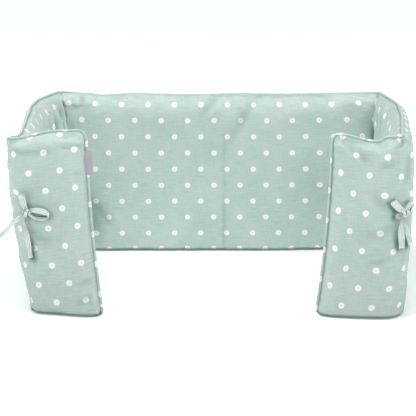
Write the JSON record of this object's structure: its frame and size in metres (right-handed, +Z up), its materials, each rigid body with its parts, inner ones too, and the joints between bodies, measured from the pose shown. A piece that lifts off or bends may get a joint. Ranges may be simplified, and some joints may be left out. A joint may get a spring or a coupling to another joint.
{
  "type": "dog crate bumper",
  "caption": "Padded dog crate bumper in pale sage cotton with white polka dots, piped round its seam and standing in a C, with front flaps beside a door gap and cloth ties in bows.",
  "frame": {"origin": "on the surface it stands on, under the middle of its box", "axes": "+X to the right of someone looking in at the door gap, +Y away from the door gap towards the back, +Z up"},
  "size_m": [0.6914, 0.4568, 0.2949],
  "materials": {
    "dotted_cotton": "matt woven cotton with white polka dots",
    "tie_cotton": "matt woven cotton",
    "label_tape": "smooth woven tape"
  },
  "bodies": {
    "root": {"pad": "dotted_cotton", "piping": "dotted_cotton", "label": "label_tape", "tie_left_knotted": "tie_cotton", "tie_left_threaded": "tie_cotton", "tie_right_knotted": "tie_cotton", "tie_right_threaded": "tie_cotton"}
  },
  "joints": []
}
